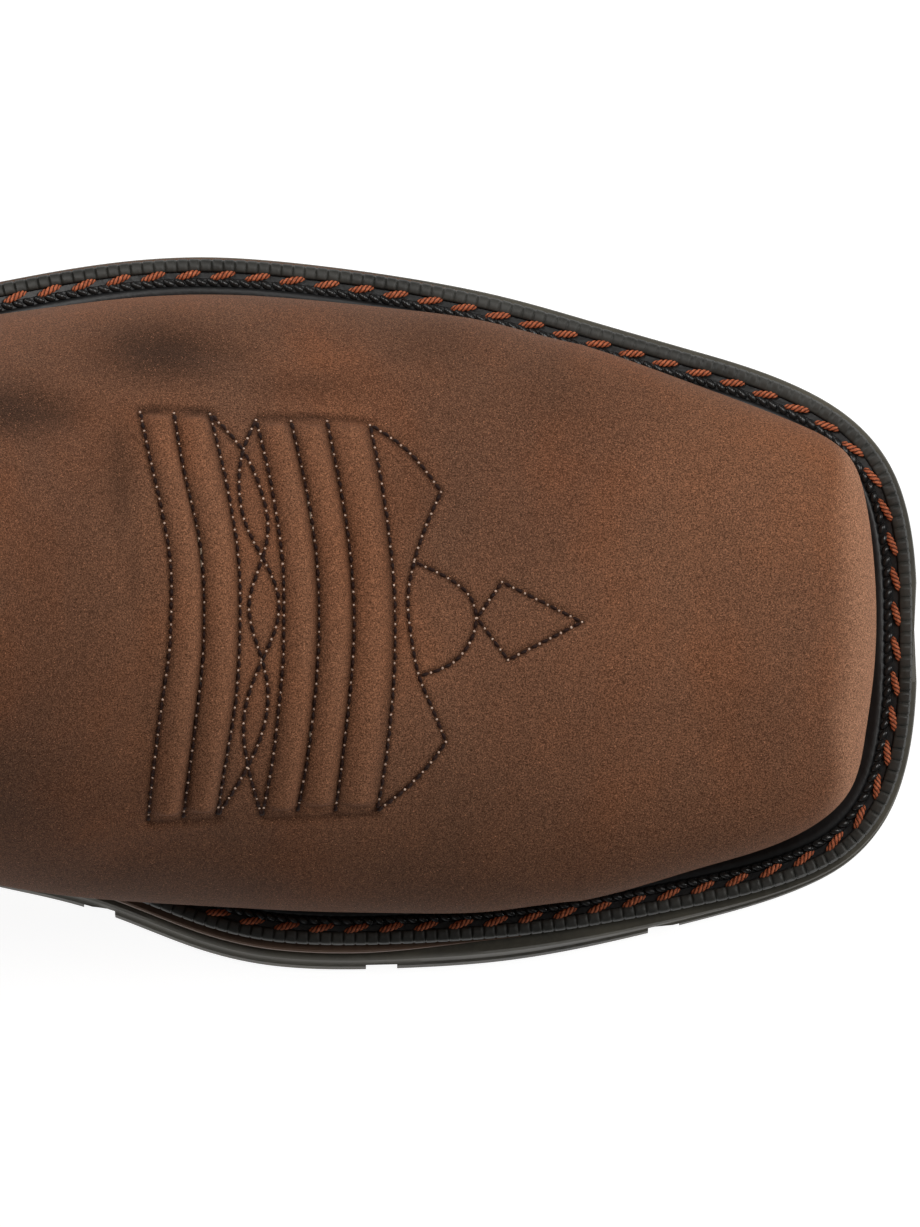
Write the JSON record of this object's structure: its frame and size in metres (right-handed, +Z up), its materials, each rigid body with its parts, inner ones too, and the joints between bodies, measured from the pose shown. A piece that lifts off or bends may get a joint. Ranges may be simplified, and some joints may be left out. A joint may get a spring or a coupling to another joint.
{
  "type": "western work boot",
  "caption": "Pull-on western work boot for the left foot, broad square toe, stitched vamp, lugged rubber sole, pull straps.",
  "frame": {"origin": "centre of the boot's bounding box, on the plane that the heel and forefoot stand on", "axes": "+X to the toe, +Y to the wearer's left (the outer side of this left boot), +Z up"},
  "size_m": [0.306, 0.118, 0.322],
  "materials": {
    "sole_rubber": "black moulded rubber, worn matt with a slight grey bloom",
    "midsole_brown": "dark brown moulded midsole, satin",
    "welt_black": "black cross-ribbed welt strip with rust-coloured thread",
    "vamp_leather": "oiled brown nubuck leather with darker clouds and fine light specks",
    "shaft_leather": "oiled brown leather, matt",
    "insole_fabric": "tan fabric over foam",
    "trim_leather": "dark brown binding leather, satin",
    "strap_webbing": "dark woven webbing"
  },
  "bodies": {
    "root": {"outsole": "sole_rubber", "midsole": "midsole_brown", "welt": "welt_black", "heel_rand": "welt_black", "heel": "sole_rubber", "heel_lift": "sole_rubber", "upper": "vamp_leather", "counter": "vamp_leather", "shaft": "shaft_leather", "insole": "insole_fabric", "collar_binding": "trim_leather", "pull_strap_lateral": "strap_webbing", "pull_strap_medial": "strap_webbing", "side_seam_lateral": "trim_leather", "side_seam_medial": "trim_leather"}
  },
  "joints": []
}
